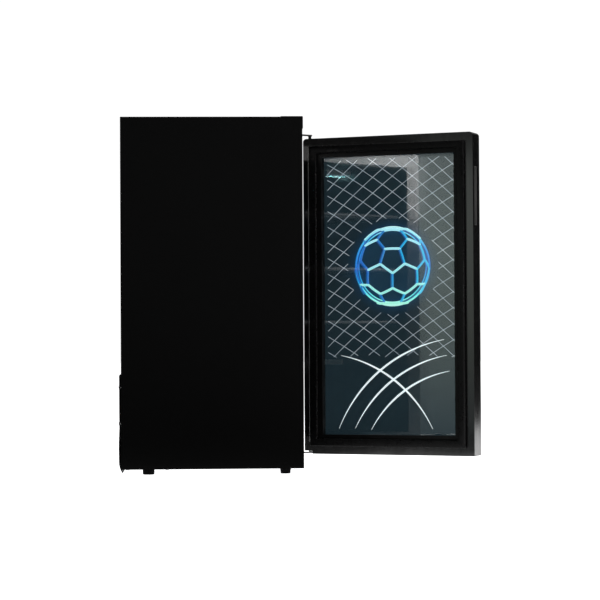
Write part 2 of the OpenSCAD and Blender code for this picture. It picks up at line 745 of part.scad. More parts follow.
// bead round the inner glass; the gasket's foot is pressed into its groove
module inner_frame() at_door() color([0.08, 0.08, 0.085])
  difference() {
    mitred_bars(stile_w + 0.1, glass_border, half_t - bead_t, half_t);
    mitred_bars(28, 32, half_t - 3.5, half_t + 1);
  }

// hollow magnetic seal with a foot, a folding waist and a sealing tube
module door_gasket() at_door() color([0.05, 0.05, 0.05])
  difference() {
    union() {
      mitred_bars(28.3, 31.7, half_t - 3.2, half_t + 1);
      mitred_bars(gasket_s + 2, gasket_s + gasket_w - 2, half_t + 0.1, half_t + 6);
      mitred_bars(gasket_s, gasket_s + gasket_w, half_t + 5.9, half_t + gasket_t);
    }
    mitred_bars(gasket_s + 3, gasket_s + gasket_w - 3, half_t + 8, half_t + gasket_t - 1.4);
  }

module gasket_magnets() at_door() color([0.2, 0.18, 0.16])
  mitred_bars(gasket_s + 3.2, gasket_s + gasket_w - 3.2, half_t + 8.2, half_t + gasket_t - 1.6);

module led_driver() at_door() color([0.85, 0.85, 0.83])
  slab(driver_x + 2, driver_x + 120, -11, 11, cap_z1 + 0.5, cap_z1 + 15);

module hinge_bushes() at_door() color([0.8, 0.8, 0.78]) {
  translate([0, 0, door_z1 - 15.9]) difference() {
    union() {
      cylinder(h = 15.9, r = 4.95);
      translate([0, 0, 15.9]) cylinder(h = 1.2, r = 6);
    }
    translate([0, 0, -1]) cylinder(h = 20, r = pin_r + run_fit - 0.01);
  }
  translate([0, 0, lower_plate_z + 3.3]) difference() {
    union() {
      cylinder(h = 18, r = 4.95);
      cylinder(h = 3.6, r = 7);
    }
    translate([0, 0, -1]) cylinder(h = 20, r = pin_r + run_fit - 0.01);
  }
}

// ---------- the ball sign ----------
// A ball of twelve five-sided and twenty six-sided patches, seen square on: each
// corner lies a third of the way along an edge of an icosahedron.

pole_up = 10;
pole_side = 0;
ring_lat = atan(0.5);
function on_ball(az, lat) = [cos(az) * cos(lat), sin(az) * cos(lat), sin(lat)];

// tilts the ball's near pole up, then to one side
function turned(v) =
  let (p = [v[0], v[1] * cos(pole_up) + v[2] * sin(pole_up), v[2] * cos(pole_up) - v[1] * sin(pole_up)])
  [p[0] * cos(pole_side) + p[2] * sin(pole_side), p[1], p[2] * cos(pole_side) - p[0] * sin(pole_side)];

ico = concat([[0, 0, 1], [0, 0, -1]], [for (k = [0 : 4]) on_ball(72 * k - 90, ring_lat)],
  [for (k = [0 : 4]) on_ball(72 * k + 90, -ring_lat)]);
ico_edge = norm(ico[0] - ico[2]);
ball_corners = [for (p = ico, q = ico)
  if (p != q && norm(p - q) < ico_edge + 0.01) turned((2 * p + q) / 3)];
ball_edge = ico_edge / 3;
sphere_r = norm(ball_corners[0]);

// one luminous tube along every edge on the near side, and a ring round them all
module neon_ball() at_door() color([0.3, 0.85, 1])
  translate([free_x + door_w / 2, 0, ball_z]) along_y(panel_y + panel_t, panel_y + panel_t + 10) {
    difference() {
      circle(r = ball_r, $fn = 96);
      circle(r = ball_r - stroke_w, $fn = 96);
    }
    k = (ball_r - stroke_w / 2) / sphere_r;
    for (i = [0 : len(ball_corners) - 1], j = [0 : len(ball_corners) - 1])
      if (i < j && norm(ball_corners[i] - ball_corners[j]) < ball_edge + 0.01
          && ball_corners[i][2] + ball_corners[j][2] > 0.1)
        stroke(k * ball_corners[i], k * ball_corners[j]);
  }

module stroke(p, q) {
  d = [q[0] - p[0], q[1] - p[1]];
  translate([p[0], p[1]]) rotate([0, 0, atan2(d[1], d[0])])
    translate([-stroke_w / 4, -stroke_w / 2]) square([norm(d) + stroke_w / 2, stroke_w]);
}

left_side_panel();
right_side_panel();
top_panel();
top_front_trim();
front_top_rail();
front_bottom_rail();
bottom_panel();
back_panel();
bay_wall();
inner_liner();
foam_sides();
foam_top();
foam_back();
foam_floor();
foam_step();
evaporator_plate();
refrigerant_tubes();
filter_drier();
condenser_coil();
compressor();
relay_box();
compressor_grommets();
compressor_bolts();
compressor_deck();
drip_tray();
drain_tube();
rear_cover();
case_screws();
cord_gland();
control_box();
thermostat_knob();
lamp_switch();
lamp_housing();
lamp_board();
lamp_diffuser();
shelf_lower();
shelf_middle();
shelf_upper();
front_foot_left();
front_foot_right();
rear_feet();
hinge_plate_upper();
hinge_bracket_lower();
hinge_pins();
hinge_screws();
door_top_cap();
door_bottom_cap();
hinge_stile();
handle_stile();
handle_insert();
outer_glass();
graphic_panel();
glass_spacer();
inner_glass();
inner_frame();
door_gasket();
gasket_magnets();
neon_ball();
led_driver();
hinge_bushes();
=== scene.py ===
import json
import math

import bmesh
import bpy
from mathutils import Matrix, Vector

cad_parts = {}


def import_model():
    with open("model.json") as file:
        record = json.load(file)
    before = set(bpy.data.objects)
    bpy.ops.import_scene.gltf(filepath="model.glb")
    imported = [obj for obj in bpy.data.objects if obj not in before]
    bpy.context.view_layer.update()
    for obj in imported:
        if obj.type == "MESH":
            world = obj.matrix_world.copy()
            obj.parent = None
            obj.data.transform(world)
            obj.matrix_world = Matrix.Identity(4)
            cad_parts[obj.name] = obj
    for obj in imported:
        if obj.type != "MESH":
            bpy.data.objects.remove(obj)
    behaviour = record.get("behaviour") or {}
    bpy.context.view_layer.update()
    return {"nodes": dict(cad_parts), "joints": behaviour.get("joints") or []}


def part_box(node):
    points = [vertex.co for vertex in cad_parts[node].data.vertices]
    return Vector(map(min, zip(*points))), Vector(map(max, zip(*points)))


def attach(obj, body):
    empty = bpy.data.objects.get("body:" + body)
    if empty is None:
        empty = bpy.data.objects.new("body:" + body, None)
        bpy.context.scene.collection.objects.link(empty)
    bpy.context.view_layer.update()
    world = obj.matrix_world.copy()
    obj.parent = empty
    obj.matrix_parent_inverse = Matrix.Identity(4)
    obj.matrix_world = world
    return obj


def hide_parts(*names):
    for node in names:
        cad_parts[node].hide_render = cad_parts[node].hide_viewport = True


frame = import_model()
nodes = frame["nodes"]


# ---------------------------------------------------------------- places, all in metres
def middle(node):
    low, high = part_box(node)
    return (low + high) / 2


def box_on_door(node):
    """(lowest corner, highest corner) of a node of the door, in the closed door's own axes."""
    back = DOOR.inverted()
    corners = [back @ vertex.co for vertex in nodes[node].data.vertices]
    return (Vector([min(corner[k] for corner in corners) for k in range(3)]),
            Vector([max(corner[k] for corner in corners) for k in range(3)]))


# the middle of the cabinet's front edge on the floor
CABINET_X = (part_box("left_side_panel")[0].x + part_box("right_side_panel")[1].x) / 2
CABINET_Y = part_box("left_side_panel")[0].y

# the hinge axis, and the turn and shift from the closed door's own axes to the open door
HINGE = next(joint for joint in frame["joints"] if joint["name"] == "door_hinge")
OPEN = math.radians(-HINGE["range_deg"][0])
PIN = Vector((middle("hinge_pins").x, middle("hinge_pins").y, 0))
DOOR = Matrix.Translation(PIN) @ Matrix.Rotation(OPEN, 4, "Z")

# the door's edges, and the two faces of the panel behind its glass
DOOR_X0, DOOR_Z0 = box_on_door("handle_stile")[0].x, box_on_door("door_bottom_cap")[0].z
DOOR_X1, DOOR_Z1 = box_on_door("hinge_stile")[1].x, box_on_door("door_top_cap")[1].z
PANEL_OUT, PANEL_IN = (corner.y for corner in box_on_door("graphic_panel"))

# the middle of the ball sign on the closed door, and its radius
BALL = DOOR.inverted() @ middle("neon_ball")
BALL_R = 0.1005

GLASS_BORDER = 0.050  # width of the printed border of the outer glass


# ---------------------------------------------------------------- shader helpers
def add_node(tree, kind, **settings):
    node = tree.nodes.new(kind)
    for name, value in settings.items():
        setattr(node, name, value)
    return node


def new_material(name):
    material = bpy.data.materials.new(name)
    material.use_nodes = True
    tree = material.node_tree
    tree.nodes.clear()
    output = add_node(tree, "ShaderNodeOutputMaterial")
    shader = add_node(tree, "ShaderNodeBsdfPrincipled")
    tree.links.new(shader.outputs[0], output.inputs[0])
    return material, tree, shader


def ramp(tree, factor, stops):
    """Colour by factor, through stops of (place, colour)."""
    node = add_node(tree, "ShaderNodeValToRGB")
    marks = node.color_ramp.elements
    while len(marks) < len(stops):
        marks.new(0.5)
    for mark, (place, colour) in zip(marks, stops):
        mark.position = place
        mark.color = (*colour, 1)
    tree.links.new(factor, node.inputs[0])
    return node.outputs[0]


def span(tree, factor, to_low, to_high, from_low=0.0, from_high=1.0):
    """The factor carried from one range to another."""
    node = add_node(tree, "ShaderNodeMapRange")
    for socket, value in zip(node.inputs[1:5], (from_low, from_high, to_low, to_high)):
        socket.default_value = value
    tree.links.new(factor, node.inputs[0])
    return node.outputs[0]


def maths(tree, operation, first, second=None):
    node = add_node(tree, "ShaderNodeMath", operation=operation)
    for socket, value in zip(node.inputs, (first, second)):
        if isinstance(value, (int, float)):
            socket.default_value = value
        elif value is not None:
            tree.links.new(value, socket)
    return node.outputs[0]


def mapped(tree, **settings):
    """Object coordinates through a Mapping node with these settings."""
    node = add_node(tree, "ShaderNodeMapping")
    for name, value in settings.items():
        node.inputs[name].default_value = value
    tree.links.new(add_node(tree, "ShaderNodeTexCoord").outputs["Object"], node.inputs[0])
    return node.outputs[0]


def coords(tree, stretch=(1, 1, 1)):
    return mapped(tree, Scale=stretch)


def door_coords(tree):
    """Object coordinates turned into the closed door's own axes: x from the hinge, z up."""
    return mapped(tree, Rotation=(0, 0, -OPEN), Location=DOOR.inverted().translation)


def axes(tree, vector):
    node = add_node(tree, "ShaderNodeSeparateXYZ")
    tree.links.new(vector, node.inputs[0])
    return node.outputs


def noise(tree, vector, scale, detail=2.0, roughness=0.5):
    node = add_node(tree, "ShaderNodeTexNoise")
    node.inputs["Scale"].default_value = scale
    node.inputs["Detail"].default_value = detail
    node.inputs["Roughness"].default_value = roughness
    tree.links.new(vector, node.inputs["Vector"])
    return node.outputs[0]


def bump(tree, shader, height, strength, distance):
    node = add_node(tree, "ShaderNodeBump")
    node.inputs["Strength"].default_value = strength
    node.inputs["Distance"].default_value = distance
    tree.links.new(height, node.inputs["Height"])
    tree.links.new(node.outputs[0], shader.inputs["Normal"])


def scaled(colour, factor):
    return tuple(min(1, channel * factor) for channel in colour)


# ---------------------------------------------------------------- materials of the cabinet
def grained(name, colour, rough, spread=0.08, tone=0.18, grain=1400, depth=0.12,
            stretch=(1, 1, 1), metal=0.0, spec=0.5, coat=0.0):
    """Base for coated, moulded and plated surfaces: a fine grain in the bump, and a slow drift in
    colour and roughness."""
    material, tree, shader = new_material(name)
    place = coords(tree, stretch)
    drift = noise(tree, place, 7, 4, 0.6)
    tint = ramp(tree, drift, [(0.3, scaled(colour, 1 - tone)), (0.7, scaled(colour, 1 + tone))])
    tree.links.new(tint, shader.inputs["Base Color"])
    haze = span(tree, noise(tree, place, 60, 3, 0.6), rough - spread, rough + spread, 0.3, 0.7)
    tree.links.new(haze, shader.inputs["Roughness"])
    shader.inputs["Metallic"].default_value = metal
    shader.inputs["Specular IOR Level"].default_value = spec
    if coat:
        shader.inputs["Coat Weight"].default_value = coat
        shader.inputs["Coat Roughness"].default_value = 0.06
    bump(tree, shader, noise(tree, place, grain, 2, 0.6), depth, 0.0002)
    return material


def galvanised():
    material, tree, shader = new_material("galvanised_sheet")
    place = coords(tree)
    cells = add_node(tree, "ShaderNodeTexVoronoi")
    cells.inputs["Scale"].default_value = 90
    tree.links.new(place, cells.inputs["Vector"])
    spangle = add_node(tree, "ShaderNodeSeparateColor")
    tree.links.new(cells.outputs["Color"], spangle.inputs[0])
    tint = ramp(tree, spangle.outputs[0], [(0, (0.34, 0.35, 0.36)), (1, (0.50, 0.51, 0.52))])
    tree.links.new(tint, shader.inputs["Base Color"])
    tree.links.new(span(tree, spangle.outputs[1], 0.28, 0.5), shader.inputs["Roughness"])
    shader.inputs["Metallic"].default_value = 1
    bump(tree, shader, noise(tree, place, 500), 0.08, 0.0002)
    return material


def foam():
    material, tree, shader = new_material("cut_foam")
    cells = noise(tree, coords(tree), 400, 6, 0.7)
    tint = ramp(tree, cells, [(0.3, (0.55, 0.42, 0.17)), (0.7, (0.74, 0.62, 0.32))])
    tree.links.new(tint, shader.inputs["Base Color"])
    shader.inputs["Roughness"].default_value = 0.9
    bump(tree, shader, cells, 0.6, 0.0006)
    return material


def lit(name, place, scale, stops, strength, base, rough):
    """A glowing surface whose base colour and emission drift with one noise."""
    material, tree, shader = new_material(name)
    drift = noise(tree, place(tree), scale, 3)
    tint = ramp(tree, drift, [(0.3, scaled(base, 0.9)), (0.7, base)])
    tree.links.new(tint, shader.inputs["Base Color"])
    tree.links.new(ramp(tree, drift, stops), shader.inputs["Emission Color"])
    shader.inputs["Emission Strength"].default_value = strength
    shader.inputs["Roughness"].default_value = rough
    return material


def lamp(name, dim, bright, strength, base):
    return lit(name, coords, 120, [(0.35, dim), (0.65, bright)], strength, base, 0.5)


def use(material, *names):
    for name in names:
        mesh = nodes[name].data
        mesh.materials.clear()
        mesh.materials.append(material)


def smooth_front(*names):
    """The cabinet's front faces, where the door's seal lands, are smoother and glossier than the coat."""
    glossy = grained("smooth_front_coat", (0.011, 0.011, 0.0115), 0.16, spread=0.02, grain=900,
                     depth=0.03, spec=1.0)
    for name in names:
        mesh = nodes[name].data
        mesh.materials.append(glossy)
        for face in mesh.polygons:
            in_front = face.normal.y < -0.9 and face.center.y < CABINET_Y + 0.002
            face.material_index = 1 if in_front else 0


BLACK = (0.0014, 0.0014, 0.00145)
SEAL_BLACK = (0.0012, 0.0012, 0.0013)
m_coat = grained("satin_black_coat", BLACK, 0.50, spread=0.03, grain=900, depth=0.10, spec=0.03, tone=0.06)
m_trim = grained("black_trim_plastic", (0.003, 0.003, 0.0033), 0.45, grain=1500, depth=0.2, spec=0.12)
m_gloss = grained("polished_black_profile", (0.0022, 0.0022, 0.0023), 0.15, spread=0.03, grain=300,
                  depth=0.02, stretch=(1, 1, 0.05), spec=0.75)
m_frame = grained("satin_black_profile", (0.0016, 0.0016, 0.0017), 0.30, spread=0.03, grain=400,
                  depth=0.03, spec=0.12)
m_insert = grained("satin_grey_insert", (0.045, 0.045, 0.044), 0.45, grain=900, spec=0.4)
m_spacer = grained("black_anodised_spacer", (0.006, 0.006, 0.0065), 0.4, grain=500, depth=0.05, spec=0.15)
m_mould = grained("moulded_black", (0.006, 0.006, 0.0066), 0.52, grain=1800, depth=0.3, spec=0.22)
m_foot = grained("matt_black_foot", BLACK, 0.60, spread=0.03, grain=1200, depth=0.2, spec=0.03)
m_rubber = grained("soft_black_rubber", (0.008, 0.008, 0.008), 0.62, grain=1200, depth=0.25, spec=0.25)
m_seal = grained("black_vinyl_seal", SEAL_BLACK, 0.30, grain=900, depth=0.08, spec=0.10)
m_liner = grained("liner_dark_grey", (0.022, 0.024, 0.027), 0.34, grain=500, depth=0.06, spec=0.45)
m_zinc = grained("zinc_plate", (0.52, 0.52, 0.53), 0.30, metal=1.0, grain=700, depth=0.1)
m_dark_steel = grained("black_steel", (0.012, 0.012, 0.013), 0.38, grain=1100, spec=0.4)
m_wire = grained("plated_wire", (0.36, 0.37, 0.385), 0.48, metal=1.0, grain=260, depth=0.05)
m_aluminium = grained("rolled_aluminium", (0.70, 0.71, 0.73), 0.33, metal=1.0, grain=500, depth=0.08,
                      stretch=(0.05, 1, 1))
m_copper = grained("drawn_copper", (0.62, 0.27, 0.15), 0.28, metal=1.0, grain=300, depth=0.08, tone=0.3)
m_enamel = grained("enamelled_pot", (0.006, 0.006, 0.007), 0.22, grain=120, depth=0.05, coat=0.5)
m_white = grained("moulded_white", (0.70, 0.71, 0.70), 0.45, grain=1500, depth=0.15, tone=0.04)
m_magnet = grained("ferrite_strip", (0.05, 0.045, 0.04), 0.7, grain=900, depth=0.2)
# painted highlight: a light grey for the hinge-side bead, standing in for the shine on the seal's glossy lip
m_painted_highlight_grey = grained("painted_highlight_grey", (0.30, 0.30, 0.30), 0.25, spread=0.04, grain=200, depth=0.03,
                 stretch=(1, 1, 0.1))
m_cover = lamp("frosted_lamp_cover", (0.30, 0.85, 1.0), (0.60, 1.0, 1.0), 0.9, (0.7, 0.75, 0.78))
m_board = lamp("lamp_strip", (0.55, 0.90, 1.0), (0.80, 1.0, 1.0), 4.0, (0.7, 0.7, 0.7))
m_lens = lamp("lamp_lens", (0.25, 0.90, 0.95), (0.75, 1.0, 1.0), 9.0, (0.6, 0.7, 0.72))

use(m_coat, "left_side_panel", "right_side_panel", "top_panel", "back_panel", "front_top_rail",
    "front_bottom_rail")
smooth_front("left_side_panel", "right_side_panel", "front_top_rail", "front_bottom_rail")
use(m_trim, "top_front_trim", "rear_cover")
use(m_foot, "rear_feet", "front_foot_left", "front_foot_right")
use(m_mould, "relay_box", "drip_tray", "drain_tube", "control_box", "thermostat_knob", "lamp_switch")
use(m_insert, "handle_insert")
use(m_gloss, "door_top_cap", "door_bottom_cap", "hinge_stile", "handle_stile")
use(m_frame, "inner_frame")
use(m_rubber, "compressor_grommets", "cord_gland", "door_gasket")
use(m_liner, "inner_liner")
use(galvanised(), "bottom_panel", "bay_wall", "compressor_deck")
use(foam(), "foam_sides", "foam_top", "foam_back", "foam_floor", "foam_step")
use(m_zinc, "compressor_bolts", "case_screws", "hinge_screws")
use(m_dark_steel, "hinge_plate_upper", "hinge_bracket_lower", "hinge_pins", "condenser_coil")
use(m_wire, "shelf_lower", "shelf_middle", "shelf_upper")
use(m_aluminium, "evaporator_plate")
use(m_spacer, "glass_spacer")
use(m_copper, "refrigerant_tubes", "filter_drier")
use(m_enamel, "compressor")
use(m_white, "lamp_housing", "led_driver", "hinge_bushes")
use(m_magnet, "gasket_magnets")
use(m_cover, "lamp_diffuser")
use(m_board, "lamp_board")


# ---------------------------------------------------------------- materials of the door
def border_mask(tree, inset):
    """1 outside a rectangle set in from the door's edges by inset, 0 inside it."""
    soft = 0.0004
    place = axes(tree, door_coords(tree))
    past = []
    for output, low, high in ((place[0], DOOR_X0, DOOR_X1), (place[2], DOOR_Z0, DOOR_Z1)):
        distance = maths(tree, "ABSOLUTE", maths(tree, "SUBTRACT", output, (low + high) / 2))
        past.append(maths(tree, "SUBTRACT", distance, (high - low) / 2 - inset))
    return span(tree, maths(tree, "MAXIMUM", *past), 0, 1, -soft, soft)


def glass(name, tint):
    material, tree, shader = new_material(name)
    shader.inputs["Base Color"].default_value = (*tint, 1)
    shader.inputs["Transmission Weight"].default_value = 1
    shader.inputs["IOR"].default_value = 1.52
    haze = span(tree, noise(tree, coords(tree), 3), 0, 0.004)
    tree.links.new(haze, shader.inputs["Roughness"])
    return material


def bordered_glass(name, tint):
    """Tinted glass with a black printed border."""
    material = glass(name, tint)
    tree = material.node_tree
    clear = next(node for node in tree.nodes if node.type == "BSDF_PRINCIPLED")
    output = next(node for node in tree.nodes if node.type == "OUTPUT_MATERIAL")
    ink = add_node(tree, "ShaderNodeBsdfPrincipled")
    stops = [(0.3, (0.003, 0.003, 0.0032)), (0.7, (0.005, 0.005, 0.0052))]
    tree.links.new(ramp(tree, noise(tree, coords(tree), 40), stops), ink.inputs["Base Color"])
    ink.inputs["Roughness"].default_value = 0.06
    either = add_node(tree, "ShaderNodeMixShader")
    tree.links.new(border_mask(tree, GLASS_BORDER), either.inputs[0])
    tree.links.new(clear.outputs[0], either.inputs[1])
    tree.links.new(ink.outputs[0], either.inputs[2])
    tree.links.new(either.outputs[0], output.inputs[0])
    return material


def graphic():
    """Dark panel: blue-grey, a little greener to the free side, with painted light on it: an emitted glow
    round the ball that stands in for the sign's light falling on the panel.
    """
    material, tree, shader = new_material("graphic_panel_tint_and_painted_glow")
    place = door_coords(tree)
    mottle = noise(tree, place, 18, 4)
    across = span(tree, axes(tree, place)[0], 0, 1, -0.04, -0.40)
    tint = ramp(tree, across, [(0, (0.012, 0.020, 0.027)), (0.6, (0.011, 0.019, 0.024)),
                               (1, (0.016, 0.024, 0.024))])
    shade = add_node(tree, "ShaderNodeMix", data_type="RGBA", blend_type="MULTIPLY")
    shade.inputs[0].default_value = 1
    tree.links.new(tint, shade.inputs[6])
    tree.links.new(ramp(tree, mottle, [(0.3, (0.9, 0.9, 0.9)), (0.7, (1, 1, 1))]), shade.inputs[7])
    tree.links.new(shade.outputs[2], shader.inputs["Base Color"])
    tree.links.new(span(tree, mottle, 0.05, 0.12), shader.inputs["Roughness"])
    # painted light: emission by distance from the ball, brightest just outside its ring, paints the sign's
    # glow onto the panel
    offset = add_node(tree, "ShaderNodeVectorMath", operation="SUBTRACT")
    tree.links.new(place, offset.inputs[0])
    offset.inputs[1].default_value = (BALL.x, PANEL_IN, BALL.z)
    distance = add_node(tree, "ShaderNodeVectorMath", operation="LENGTH")
    tree.links.new(offset.outputs[0], distance.inputs[0])
    stops = [(0, (0.011, 0.030, 0.050)), (0.48, (0.010, 0.032, 0.060)), (0.60, (0.008, 0.042, 0.100)),
             (0.68, (0.009, 0.024, 0.045)), (0.78, (0.009, 0.018, 0.026)), (1, (0.0095, 0.0175, 0.0225))]
    glow = ramp(tree, span(tree, distance.outputs["Value"], 0, 1, 0, 0.16), stops)
    tree.links.new(glow, shader.inputs["Emission Color"])
    shader.inputs["Emission Strength"].default_value = 1.0
    return material


def neon(name, axis, strength, stops, rough=0.3, mottle=0.24):
    """A lit tube whose colour runs across the ball along one of the door's axes, with some mottle."""
    material, tree, shader = new_material(name)
    place = door_coords(tree)
    run = span(tree, axes(tree, place)[axis], 0, 1, BALL[axis] - 0.1, BALL[axis] + 0.1)
    if mottle:
        speckle = maths(tree, "MULTIPLY", noise(tree, place, 55, 3), mottle)
        run = maths(tree, "SUBTRACT", maths(tree, "ADD", run, speckle), mottle / 2)
    shader.inputs["Base Color"].default_value = (0.05, 0.06, 0.07, 1)
    shader.inputs["Roughness"].default_value = rough
    tree.links.new(ramp(tree, run, stops), shader.inputs["Emission Color"])
    shader.inputs["Emission Strength"].default_value = strength
    return material


m_line = lit("lit_line", door_coords, 14, [(0.35, (0.40, 0.47, 0.54)), (0.65, (0.58, 0.64, 0.70))],
             0.80, (0.08, 0.085, 0.10), 0.35)
m_sweep = lit("lit_sweep", door_coords, 40, [(0.35, (0.80, 0.86, 0.88)), (0.65, (0.92, 0.95, 0.95))],
              0.9, (0.6, 0.65, 0.7), 0.35)
m_pale = neon("neon_white", 2, 1.0, [(0, (0.42, 1.0, 0.78)), (0.35, (0.36, 0.88, 0.90)),
                                     (0.6, (0.42, 0.86, 0.95)), (1, (0.45, 0.90, 1.0))])
m_cyan = neon("neon_cyan", 0, 1.0, [(0, (0.02, 0.55, 0.85)), (0.35, (0.01, 0.42, 0.78)),
                                    (0.6, (0.008, 0.20, 0.58)), (1, (0.006, 0.13, 0.56))])
m_edge = neon("neon_blue_edge", 2, 0.8, [(0, (0.004, 0.16, 0.30)), (0.5, (0.004, 0.07, 0.34)),
                                         (1, (0.005, 0.05, 0.30))])
m_ring = neon("neon_ring", 2, 1.0, [(0, (0.55, 1.0, 0.85)), (0.12, (0.20, 0.95, 0.88)),
                                    (0.30, (0.02, 0.45, 0.85)), (0.5, (0.008, 0.20, 0.72)),
                                    (0.72, (0.015, 0.32, 0.80)), (0.88, (0.10, 0.68, 0.95)),
                                    (1, (0.60, 0.97, 1.0))], rough=0.5, mottle=0)
use(bordered_glass("tinted_outer_glass", (0.62, 0.68, 0.70)), "outer_glass")
use(glass("clear_inner_glass", (0.90, 0.95, 0.95)), "inner_glass")
use(graphic(), "graphic_panel")


# ---------------------------------------------------------------- mesh helpers
def piece(name, bm, materials, body, replaces=(), smooth=35, place=None):
    """A finished mesh piece: closed normals, smooth by angle, materials, body, and the parts it replaces
    hidden.
    """
    bmesh.ops.recalc_face_normals(bm, faces=bm.faces)
    mesh = bpy.data.meshes.new(name)
    bm.to_mesh(mesh)
    bm.free()
    if place is not None:
        mesh.transform(place)
    for face in mesh.polygons:
        face.use_smooth = True
    mesh.set_sharp_from_angle(angle=math.radians(smooth))
    for material in materials:
        mesh.materials.append(material)
    o = bpy.data.objects.new(name, mesh)
    bpy.context.collection.objects.link(o)
    if replaces:
        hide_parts(*replaces)
    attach(o, body)
    return o


def circle(count):
    """(cosine, sine) of evenly spaced steps round a circle."""
    return [(math.cos(2 * math.pi * k / count), math.sin(2 * math.pi * k / count)) for k in range(count)]


def skin(bm, rows, closed=False, colour=0):
    """Faces between neighbouring rows, each a loop of vertices; the last row joins the first where
    closed, and otherwise both ends are capped. colour is the material's number."""
    faces = [] if closed else [bm.faces.new(rows[0]), bm.faces.new(rows[-1])]
    for row, other in zip(rows, rows[1:] + rows[:1] if closed else rows[1:]):
        for k in range(len(row)):
            after = (k + 1) % len(row)
            faces.append(bm.faces.new((row[k], row[after], other[after], other[k])))
    for face in faces:
        face.material_index = colour


def directions(points, closed=False):
    """The unit direction of a line of (x, z) points at each of its points."""
    last = len(points) - 1
    found = []
    for k in range(len(points)):
        before = points[k - 1] if closed else points[max(k - 1, 0)]
        after = points[(k + 1) % (last + 1)] if closed else points[min(k + 1, last)]
        found.append(Vector((after[0] - before[0], after[1] - before[1])).normalized())
    return found


def ribbon(bm, points, widths, y0, y1, colour=0):
    """A flat strip along (x, z) points, from depth y0 to y1, with one width for each point."""
    rows = []
    for (x, z), along, width in zip(points, directions(points), widths):
        aside = Vector((-along.y, along.x)) * (width / 2)
        left = (x + aside.x, z + aside.y)
        right = (x - aside.x, z - aside.y)
        corners = ((left, y0), (right, y0), (right, y1), (left, y1))
        rows.append([bm.verts.new((side[0], y, side[1])) for side, y in corners])
    skin(bm, rows, colour=colour)


def tube(bm, points, radius, y, closed=False, colour=0):
    """A light tube lying in the door's plane along (x, z) points, its axis at depth y, a little flat."""
    flatness = 0.8
    rows = []
    for (x, z), along in zip(points, directions(points, closed)):
        aside = Vector((-along.y, 0, along.x)) * radius
        deep = Vector((0, radius * flatness, 0))
        rows.append([bm.verts.new(Vector((x, y, z)) + aside * c + deep * s) for c, s in circle(10)])
    skin(bm, rows, closed, colour)


# ---------------------------------------------------------------- door: the lit drawing
# a plain net: two families of evenly spaced, gently bowed lines, made by one formula
NET_LEFT, NET_RIGHT = DOOR_X0 + GLASS_BORDER, DOOR_X1 - GLASS_BORDER
NET_FOOT, NET_TOP = 0.270, DOOR_Z1 - GLASS_BORDER - 0.001
NET_MIDDLE = (NET_LEFT + NET_RIGHT) / 2
NET_PITCH = 0.040
NET_SLOPE = 0.75
NET_BOW = 0.018
NET_STEPS = 48
NET_WIDTH = 0.0012
CLEAR_R = 0.122  # radius of the empty circle that the net leaves round the ball

# plain sweeps: concentric arcs low on the panel, and one mirrored across its middle
SWEEP_CENTRE = (-0.420, -0.060)
SWEEP_RADII = (0.300, 0.340, 0.380)
SWEEP_START, SWEEP_TURN = math.radians(18), math.radians(62)
SWEEP_STEPS = 60
SWEEP_WIDTH = 0.0050
SWEEP_FOOT = 0.085


def net_line(way, number):
    """One line of the family that falls (way -1) or rises (way +1) toward the hinge."""
    half = (NET_RIGHT - NET_LEFT) / 2
    points = []
    for k in range(NET_STEPS + 1):
        u = 2 * k / NET_STEPS - 1
        height = number * NET_PITCH + way * NET_SLOPE * u * half + NET_BOW * (1 - u * u)
        points.append((NET_MIDDLE + u * half, NET_FOOT + height))
    return points


def in_clear(point):
    return math.hypot(point[0] - BALL.x, point[1] - BALL.z) <= CLEAR_R


def halfway(a, b):
    return ((a[0] + b[0]) / 2, (a[1] + b[1]) / 2)


def crossing(outside, inside):
    """The point between the two where the line meets the clear circle, found by halving."""
    for _ in range(12):
        between = halfway(outside, inside)
        if in_clear(between):
            inside = between
        else:
            outside = between
    return outside


def visible_runs(points):
    """The stretches of a line above the net's foot, below its top and outside the clear circle."""
    runs = [[]]
    previous = None
    for point in points:
        shown = NET_FOOT < point[1] < NET_TOP
        if shown and previous and in_clear(previous) != in_clear(point):
            if in_clear(point):
                runs[-1].append(crossing(previous, point))
                runs.append([])
            else:
                runs[-1].append(crossing(point, previous))
        if shown and not in_clear(point):
            runs[-1].append(point)
        if not shown:
            runs.append([])
        previous = point if shown else None
    return [run for run in runs if len(run) > 1]


def net(name, y0, y1):
    bm = bmesh.new()
    spare = 5  # lines beyond the foot and the top, which the slope brings into view
    count = int((NET_TOP - NET_FOOT) / NET_PITCH)
    for way in (-1, 1):
        for number in range(-spare, count + spare):
            for run in visible_runs(net_line(way, number)):
                ribbon(bm, run, [NET_WIDTH] * len(run), y0, y1)
    piece(name, bm, [m_line], "door", smooth=60, place=DOOR)


def sweep(radius, mirrored=False):
    """The visible stretch of an arc round SWEEP_CENTRE."""
    points = []
    for k in range(SWEEP_STEPS + 1):
        angle = SWEEP_START + SWEEP_TURN * k / SWEEP_STEPS
        x = SWEEP_CENTRE[0] + radius * math.cos(angle)
        z = SWEEP_CENTRE[1] + radius * math.sin(angle)
        if mirrored:
            x = 2 * NET_MIDDLE - x
        if NET_LEFT < x < NET_RIGHT and z > SWEEP_FOOT:
            points.append((x, z))
    return points


def sweeps(name, y0, y1):
    """The arcs, each thin at its ends and widest in the middle."""
    bm = bmesh.new()
    for run in [sweep(radius) for radius in SWEEP_RADII] + [sweep(SWEEP_RADII[1], mirrored=True)]:
        last = len(run) - 1
        swell = [0.16 + 0.84 * math.sin(math.pi * k / last) for k in range(last + 1)]
        ribbon(bm, run, [SWEEP_WIDTH * part for part in swell], y0, y1)
    piece(name, bm, [m_sweep], "door", smooth=60, place=DOOR)


